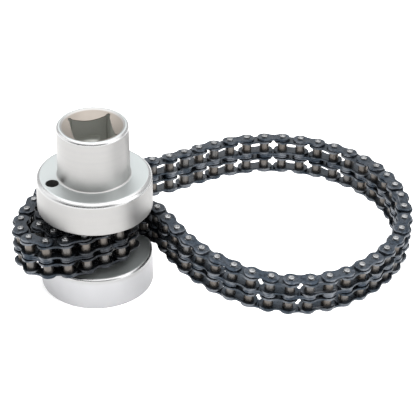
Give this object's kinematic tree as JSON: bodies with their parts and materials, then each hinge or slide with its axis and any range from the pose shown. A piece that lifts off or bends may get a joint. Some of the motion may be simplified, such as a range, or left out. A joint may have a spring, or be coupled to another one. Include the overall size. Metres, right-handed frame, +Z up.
{
  "type": "chain oil filter wrench",
  "caption": "Chain wrench for oil filters: turned body with two drums and a square drive socket, and a double bush chain that makes a loop and wraps back round the body.",
  "frame": {"origin": "on the body's axis, at the base face of the lower drum", "axes": "+Z up the body's axis towards the square drive, +X from the body towards the far end of the chain loop"},
  "size_m": [0.1322, 0.0923, 0.059],
  "materials": {
    "plated_body": "satin nickel plate on turned steel",
    "chain_outer": "blued steel plates with bright pin ends, oiled",
    "chain_inner": "blued steel plates and brown-grey bushes, oiled",
    "pin_steel": "hardened steel"
  },
  "bodies": {
    "body": {"drive_body": "plated_body", "lower_drum": "plated_body", "drum_screw": "pin_steel", "guide_post": "pin_steel", "anchor_pin": "pin_steel", "held_wrap_inner_links": "chain_inner", "held_wrap_outer_links": "chain_outer", "return_wrap_inner_links": "chain_inner", "return_wrap_outer_links": "chain_outer"},
    "loop_link_01": {"loop_inner_link_01": "chain_inner"},
    "loop_link_02": {"loop_outer_link_02": "chain_outer"},
    "loop_link_03": {"loop_inner_link_03": "chain_inner"},
    "loop_link_04": {"loop_outer_link_04": "chain_outer"},
    "loop_link_05": {"loop_inner_link_05": "chain_inner"},
    "loop_link_06": {"loop_outer_link_06": "chain_outer"},
    "loop_link_07": {"loop_inner_link_07": "chain_inner"},
    "loop_link_08": {"loop_outer_link_08": "chain_outer"},
    "loop_link_09": {"loop_inner_link_09": "chain_inner"},
    "loop_link_10": {"loop_outer_link_10": "chain_outer"},
    "loop_link_11": {"loop_inner_link_11": "chain_inner"},
    "loop_link_12": {"loop_outer_link_12": "chain_outer"},
    "loop_link_13": {"loop_inner_link_13": "chain_inner"},
    "loop_link_14": {"loop_outer_link_14": "chain_outer"},
    "loop_link_15": {"loop_inner_link_15": "chain_inner"},
    "loop_link_16": {"loop_outer_link_16": "chain_outer"},
    "loop_link_17": {"loop_inner_link_17": "chain_inner"},
    "loop_link_18": {"loop_outer_link_18": "chain_outer"},
    "loop_link_19": {"loop_inner_link_19": "chain_inner"},
    "loop_link_20": {"loop_outer_link_20": "chain_outer"},
    "loop_link_21": {"loop_inner_link_21": "chain_inner"},
    "loop_link_22": {"loop_outer_link_22": "chain_outer"},
    "loop_link_23": {"loop_inner_link_23": "chain_inner"},
    "loop_link_24": {"loop_outer_link_24": "chain_outer"},
    "loop_link_25": {"loop_inner_link_25": "chain_inner"},
    "loop_link_26": {"loop_outer_link_26": "chain_outer"},
    "loop_link_27": {"loop_inner_link_27": "chain_inner"},
    "loop_link_28": {"loop_outer_link_28": "chain_outer"},
    "loop_link_29": {"loop_inner_link_29": "chain_inner"},
    "loop_link_30": {"loop_outer_link_30": "chain_outer"},
    "loop_link_31": {"loop_inner_link_31": "chain_inner"},
    "loop_link_32": {"loop_outer_link_32": "chain_outer"},
    "loop_link_33": {"loop_inner_link_33": "chain_inner"},
    "loop_link_34": {"loop_outer_link_34": "chain_outer"},
    "loop_link_35": {"loop_inner_link_35": "chain_inner"},
    "loop_link_36": {"loop_outer_link_36": "chain_outer"},
    "loop_link_37": {"loop_inner_link_37": "chain_inner"},
    "tail_link_01": {"tail_outer_link_01": "chain_outer"},
    "tail_link_02": {"tail_inner_link_02": "chain_inner"},
    "tail_link_03": {"tail_outer_link_03": "chain_outer"},
    "tail_link_04": {"tail_inner_link_04": "chain_inner"},
    "tail_link_05": {"tail_outer_link_05": "chain_outer"},
    "tail_link_06": {"tail_inner_link_06": "chain_inner"},
    "tail_link_07": {"tail_outer_link_07": "chain_outer"},
    "tail_link_08": {"tail_inner_link_08": "chain_inner"},
    "tail_link_09": {"tail_outer_link_09": "chain_outer"},
    "tail_link_10": {"tail_inner_link_10": "chain_inner"}
  },
  "joints": [
    {"name": "loop_pivot_01", "type": "hinge", "parent": "body", "child": "loop_link_01", "pos_m": [0.01993, 0.00383, 0.01875], "axis": [0.0242, -0.02, 0.9995], "range_deg": [-12, 12]},
    {"name": "loop_pivot_02", "type": "hinge", "parent": "loop_link_01", "child": "loop_link_02", "pos_m": [0.02329, -0.00155, 0.01847], "axis": [0.0493, -0.0407, 0.998], "range_deg": [-6.72, 6.72]},
    {"name": "loop_pivot_03", "type": "hinge", "parent": "loop_link_02", "child": "loop_link_03", "pos_m": [0.02636, -0.0071, 0.01809], "axis": [0.0493, -0.0407, 0.998], "range_deg": [-15.43, 15.43]},
    {"name": "loop_pivot_04", "type": "hinge", "parent": "loop_link_03", "child": "loop_link_04", "pos_m": [0.02998, -0.0123, 0.0176], "axis": [0.0722, -0.0596, 0.9956], "range_deg": [-4.84, 4.84]},
    {"name": "loop_pivot_05", "type": "hinge", "parent": "loop_link_04", "child": "loop_link_05", "pos_m": [0.03425, -0.01696, 0.01701], "axis": [0.0722, -0.0596, 0.9956], "range_deg": [-3.02, 3.02]},
    {"name": "loop_pivot_06", "type": "hinge", "parent": "loop_link_05", "child": "loop_link_06", "pos_m": [0.0391, -0.021, 0.01635], "axis": [0.0849, -0.0701, 0.9939], "range_deg": [-6.27, 6.27]},
    {"name": "loop_pivot_07", "type": "hinge", "parent": "loop_link_06", "child": "loop_link_07", "pos_m": [0.04444, -0.02436, 0.01566], "axis": [0.0849, -0.0701, 0.9939], "range_deg": [-7.32, 7.32]},
    {"name": "loop_pivot_08", "type": "hinge", "parent": "loop_link_07", "child": "loop_link_08", "pos_m": [0.05019, -0.02697, 0.01498], "axis": [0.084, -0.0692, 0.9941], "range_deg": [-3.02, 3.02]},
    {"name": "loop_pivot_09", "type": "hinge", "parent": "loop_link_08", "child": "loop_link_09", "pos_m": [0.05628, -0.02865, 0.01435], "axis": [0.084, -0.0692, 0.9941], "range_deg": [-4.33, 4.33]},
    {"name": "loop_pivot_10", "type": "hinge", "parent": "loop_link_09", "child": "loop_link_10", "pos_m": [0.06259, -0.02916, 0.0138], "axis": [0.0788, -0.0642, 0.9948], "range_deg": [-8.2, 8.2]},
    {"name": "loop_pivot_11", "type": "hinge", "parent": "loop_link_10", "child": "loop_link_11", "pos_m": [0.06889, -0.02847, 0.01334], "axis": [0.0788, -0.0642, 0.9948], "range_deg": [-3.02, 3.02]},
    {"name": "loop_pivot_12", "type": "hinge", "parent": "loop_link_11", "child": "loop_link_12", "pos_m": [0.07495, -0.02661, 0.013], "axis": [0.0719, -0.0575, 0.9958], "range_deg": [-4.53, 4.53]},
    {"name": "loop_pivot_13", "type": "hinge", "parent": "loop_link_12", "child": "loop_link_13", "pos_m": [0.0806, -0.02372, 0.01275], "axis": [0.0719, -0.0575, 0.9958], "range_deg": [-12.88, 12.88]},
    {"name": "loop_pivot_14", "type": "hinge", "parent": "loop_link_13", "child": "loop_link_14", "pos_m": [0.08574, -0.02, 0.0126], "axis": [0.0655, -0.0514, 0.9965], "range_deg": [-10.23, 10.23]},
    {"name": "loop_pivot_15", "type": "hinge", "parent": "loop_link_14", "child": "loop_link_15", "pos_m": [0.09032, -0.0156, 0.01253], "axis": [0.0655, -0.0514, 0.9965], "range_deg": [-3.02, 3.02]},
    {"name": "loop_pivot_16", "type": "hinge", "parent": "loop_link_15", "child": "loop_link_16", "pos_m": [0.09432, -0.01066, 0.01252], "axis": [0.062, -0.048, 0.9969], "range_deg": [-2.86, 2.86]},
    {"name": "loop_pivot_17", "type": "hinge", "parent": "loop_link_16", "child": "loop_link_17", "pos_m": [0.09759, -0.00522, 0.01258], "axis": [0.062, -0.048, 0.9969], "range_deg": [-4.76, 4.76]},
    {"name": "loop_pivot_18", "type": "hinge", "parent": "loop_link_17", "child": "loop_link_18", "pos_m": [0.09996, 0.00067, 0.01271], "axis": [0.0596, -0.0416, 0.9974], "range_deg": [-3.64, 3.64]},
    {"name": "loop_pivot_19", "type": "hinge", "parent": "loop_link_18", "child": "loop_link_19", "pos_m": [0.10136, 0.00685, 0.01288], "axis": [0.0596, -0.0416, 0.9974], "range_deg": [-3.02, 3.02]},
    {"name": "loop_pivot_20", "type": "hinge", "parent": "loop_link_19", "child": "loop_link_20", "pos_m": [0.10179, 0.01319, 0.01306], "axis": [0.0515, -0.0187, 0.9985], "range_deg": [-3.02, 3.02]},
    {"name": "loop_pivot_21", "type": "hinge", "parent": "loop_link_20", "child": "loop_link_21", "pos_m": [0.10125, 0.01951, 0.01321], "axis": [0.0515, -0.0187, 0.9985], "range_deg": [-3.02, 3.02]},
    {"name": "loop_pivot_22", "type": "hinge", "parent": "loop_link_21", "child": "loop_link_22", "pos_m": [0.09979, 0.02569, 0.0133], "axis": [0.0407, 0.0118, 0.9991], "range_deg": [-3.02, 3.02]},
    {"name": "loop_pivot_23", "type": "hinge", "parent": "loop_link_22", "child": "loop_link_23", "pos_m": [0.09745, 0.0316, 0.01332], "axis": [0.0407, 0.0118, 0.9991], "range_deg": [-3.02, 3.02]},
    {"name": "loop_pivot_24", "type": "hinge", "parent": "loop_link_23", "child": "loop_link_24", "pos_m": [0.09426, 0.03709, 0.01329], "axis": [0.0307, 0.0397, 0.9987], "range_deg": [-5.45, 5.45]},
    {"name": "loop_pivot_25", "type": "hinge", "parent": "loop_link_24", "child": "loop_link_25", "pos_m": [0.09032, 0.04206, 0.01321], "axis": [0.0307, 0.0397, 0.9987], "range_deg": [-4.18, 4.18]},
    {"name": "loop_pivot_26", "type": "hinge", "parent": "loop_link_25", "child": "loop_link_26", "pos_m": [0.08572, 0.04645, 0.01312], "axis": [0.0252, 0.0551, 0.9982], "range_deg": [-4.01, 4.01]},
    {"name": "loop_pivot_27", "type": "hinge", "parent": "loop_link_26", "child": "loop_link_27", "pos_m": [0.08059, 0.05018, 0.01304], "axis": [0.0252, 0.0551, 0.9982], "range_deg": [-3.02, 3.02]},
    {"name": "loop_pivot_28", "type": "hinge", "parent": "loop_link_27", "child": "loop_link_28", "pos_m": [0.075, 0.05319, 0.01302], "axis": [0.0249, 0.0597, 0.9979], "range_deg": [-4.41, 4.41]},
    {"name": "loop_pivot_29", "type": "hinge", "parent": "loop_link_28", "child": "loop_link_29", "pos_m": [0.06901, 0.05532, 0.01304], "axis": [0.0249, 0.0597, 0.9979], "range_deg": [-4.02, 4.02]},
    {"name": "loop_pivot_30", "type": "hinge", "parent": "loop_link_29", "child": "loop_link_30", "pos_m": [0.06276, 0.05639, 0.01312], "axis": [0.0246, 0.0735, 0.997], "range_deg": [-3.02, 3.02]},
    {"name": "loop_pivot_31", "type": "hinge", "parent": "loop_link_30", "child": "loop_link_31", "pos_m": [0.05641, 0.05633, 0.01328], "axis": [0.0246, 0.0735, 0.997], "range_deg": [-3.12, 3.12]},
    {"name": "loop_pivot_32", "type": "hinge", "parent": "loop_link_31", "child": "loop_link_32", "pos_m": [0.05018, 0.05511, 0.01354], "axis": [0.0243, 0.0918, 0.9955], "range_deg": [-4.95, 4.95]},
    {"name": "loop_pivot_33", "type": "hinge", "parent": "loop_link_32", "child": "loop_link_33", "pos_m": [0.04424, 0.05291, 0.01389], "axis": [0.0243, 0.0918, 0.9955], "range_deg": [-8.54, 8.54]},
    {"name": "loop_pivot_34", "type": "hinge", "parent": "loop_link_33", "child": "loop_link_34", "pos_m": [0.03865, 0.04992, 0.01432], "axis": [0.024, 0.1085, 0.9938], "range_deg": [-4.18, 4.18]},
    {"name": "loop_pivot_35", "type": "hinge", "parent": "loop_link_34", "child": "loop_link_35", "pos_m": [0.03342, 0.04636, 0.01484], "axis": [0.024, 0.1085, 0.9938], "range_deg": [-6.35, 6.35]},
    {"name": "loop_pivot_36", "type": "hinge", "parent": "loop_link_35", "child": "loop_link_36", "pos_m": [0.02841, 0.0425, 0.0154], "axis": [0.0238, 0.1177, 0.9928], "range_deg": [-13.77, 13.77]},
    {"name": "loop_pivot_37", "type": "hinge", "parent": "loop_link_36", "child": "loop_link_37", "pos_m": [0.02322, 0.03887, 0.01596], "axis": [0.0238, 0.1177, 0.9928], "range_deg": [-14.86, 14.86]},
    {"name": "tail_pivot_01", "type": "hinge", "parent": "body", "child": "tail_link_01", "pos_m": [-0.02056, 0.00928, 0.01792], "axis": [-0.0354, 0.0526, 0.998], "range_deg": [-12, 0]},
    {"name": "tail_pivot_02", "type": "hinge", "parent": "tail_link_01", "child": "tail_link_02", "pos_m": [-0.02246, 0.00323, 0.01817], "axis": [-0.0354, 0.0526, 0.998], "range_deg": [-7.7, 0]},
    {"name": "tail_pivot_03", "type": "hinge", "parent": "tail_link_02", "child": "tail_link_03", "pos_m": [-0.02388, -0.00295, 0.01845], "axis": [-0.0408, 0.055, 0.9977], "range_deg": [-14.9, 0]},
    {"name": "tail_pivot_04", "type": "hinge", "parent": "tail_link_03", "child": "tail_link_04", "pos_m": [-0.02353, -0.00928, 0.01882], "axis": [-0.0408, 0.055, 0.9977], "range_deg": [-23.3, 0]},
    {"name": "tail_pivot_05", "type": "hinge", "parent": "tail_link_04", "child": "tail_link_05", "pos_m": [-0.02041, -0.01479, 0.01927], "axis": [-0.0484, 0.0583, 0.9971], "range_deg": [-28.1, 0]},
    {"name": "tail_pivot_06", "type": "hinge", "parent": "tail_link_05", "child": "tail_link_06", "pos_m": [-0.01482, -0.01777, 0.01971], "axis": [-0.0484, 0.0583, 0.9971], "range_deg": [-23.3, 0]},
    {"name": "tail_pivot_07", "type": "hinge", "parent": "tail_link_06", "child": "tail_link_07", "pos_m": [-0.00848, -0.01782, 0.02005], "axis": [-0.0559, 0.0617, 0.9965], "range_deg": [-16.1, 0]},
    {"name": "tail_pivot_08", "type": "hinge", "parent": "tail_link_07", "child": "tail_link_08", "pos_m": [-0.00248, -0.01574, 0.02026], "axis": [-0.0559, 0.0617, 0.9965], "range_deg": [-10.1, 0]},
    {"name": "tail_pivot_09", "type": "hinge", "parent": "tail_link_08", "child": "tail_link_09", "pos_m": [0.00294, -0.01244, 0.02037], "axis": [-0.0613, 0.0641, 0.9961], "range_deg": [-6.5, 0]},
    {"name": "tail_pivot_10", "type": "hinge", "parent": "tail_link_09", "child": "tail_link_10", "pos_m": [0.00805, -0.00867, 0.02044], "axis": [-0.0613, 0.0641, 0.9961], "range_deg": [-4.1, 0]}
  ],
  "couplings": [
    {"joint": "loop_pivot_02", "follows": "loop_pivot_01", "ratio": -0.5184},
    {"joint": "loop_pivot_03", "follows": "loop_pivot_01", "ratio": -1.2445},
    {"joint": "loop_pivot_04", "follows": "loop_pivot_01", "ratio": -0.3616},
    {"joint": "loop_pivot_05", "follows": "loop_pivot_01", "ratio": -0.21},
    {"joint": "loop_pivot_06", "follows": "loop_pivot_01", "ratio": 0.4812},
    {"joint": "loop_pivot_07", "follows": "loop_pivot_01", "ratio": 0.5684},
    {"joint": "loop_pivot_08", "follows": "loop_pivot_01", "ratio": 0.21},
    {"joint": "loop_pivot_09", "follows": "loop_pivot_01", "ratio": -0.3188},
    {"joint": "loop_pivot_10", "follows": "loop_pivot_01", "ratio": -0.6415},
    {"joint": "loop_pivot_11", "follows": "loop_pivot_01", "ratio": -0.21},
    {"joint": "loop_pivot_12", "follows": "loop_pivot_01", "ratio": 0.3361},
    {"joint": "loop_pivot_13", "follows": "loop_pivot_01", "ratio": 1.0315},
    {"joint": "loop_pivot_14", "follows": "loop_pivot_01", "ratio": 0.8106},
    {"joint": "loop_pivot_15", "follows": "loop_pivot_01", "ratio": 0.21},
    {"joint": "loop_pivot_16", "follows": "loop_pivot_01", "ratio": -0.1969},
    {"joint": "loop_pivot_17", "follows": "loop_pivot_01", "ratio": -0.3554},
    {"joint": "loop_pivot_18", "follows": "loop_pivot_01", "ratio": -0.2618},
    {"joint": "loop_pivot_19", "follows": "loop_pivot_01", "ratio": -0.21},
    {"joint": "loop_pivot_20", "follows": "loop_pivot_01", "ratio": -0.21},
    {"joint": "loop_pivot_21", "follows": "loop_pivot_01", "ratio": 0.21},
    {"joint": "loop_pivot_22", "follows": "loop_pivot_01", "ratio": -0.21},
    {"joint": "loop_pivot_23", "follows": "loop_pivot_01", "ratio": -0.21},
    {"joint": "loop_pivot_24", "follows": "loop_pivot_01", "ratio": -0.4126},
    {"joint": "loop_pivot_25", "follows": "loop_pivot_01", "ratio": -0.3071},
    {"joint": "loop_pivot_26", "follows": "loop_pivot_01", "ratio": -0.2927},
    {"joint": "loop_pivot_27", "follows": "loop_pivot_01", "ratio": 0.21},
    {"joint": "loop_pivot_28", "follows": "loop_pivot_01", "ratio": 0.326},
    {"joint": "loop_pivot_29", "follows": "loop_pivot_01", "ratio": 0.2937},
    {"joint": "loop_pivot_30", "follows": "loop_pivot_01", "ratio": 0.21},
    {"joint": "loop_pivot_31", "follows": "loop_pivot_01", "ratio": 0.2183},
    {"joint": "loop_pivot_32", "follows": "loop_pivot_01", "ratio": 0.3707},
    {"joint": "loop_pivot_33", "follows": "loop_pivot_01", "ratio": 0.6696},
    {"joint": "loop_pivot_34", "follows": "loop_pivot_01", "ratio": 0.3063},
    {"joint": "loop_pivot_35", "follows": "loop_pivot_01", "ratio": -0.4878},
    {"joint": "loop_pivot_36", "follows": "loop_pivot_01", "ratio": -1.1057},
    {"joint": "loop_pivot_37", "follows": "loop_pivot_01", "ratio": -1.1969},
    {"joint": "tail_pivot_02", "follows": "tail_pivot_01", "ratio": 0.6},
    {"joint": "tail_pivot_03", "follows": "tail_pivot_01", "ratio": 1.2},
    {"joint": "tail_pivot_04", "follows": "tail_pivot_01", "ratio": 1.9},
    {"joint": "tail_pivot_05", "follows": "tail_pivot_01", "ratio": 2.3},
    {"joint": "tail_pivot_06", "follows": "tail_pivot_01", "ratio": 1.9},
    {"joint": "tail_pivot_07", "follows": "tail_pivot_01", "ratio": 1.3},
    {"joint": "tail_pivot_08", "follows": "tail_pivot_01", "ratio": 0.8},
    {"joint": "tail_pivot_09", "follows": "tail_pivot_01", "ratio": 0.5},
    {"joint": "tail_pivot_10", "follows": "tail_pivot_01", "ratio": 0.3}
  ]
}
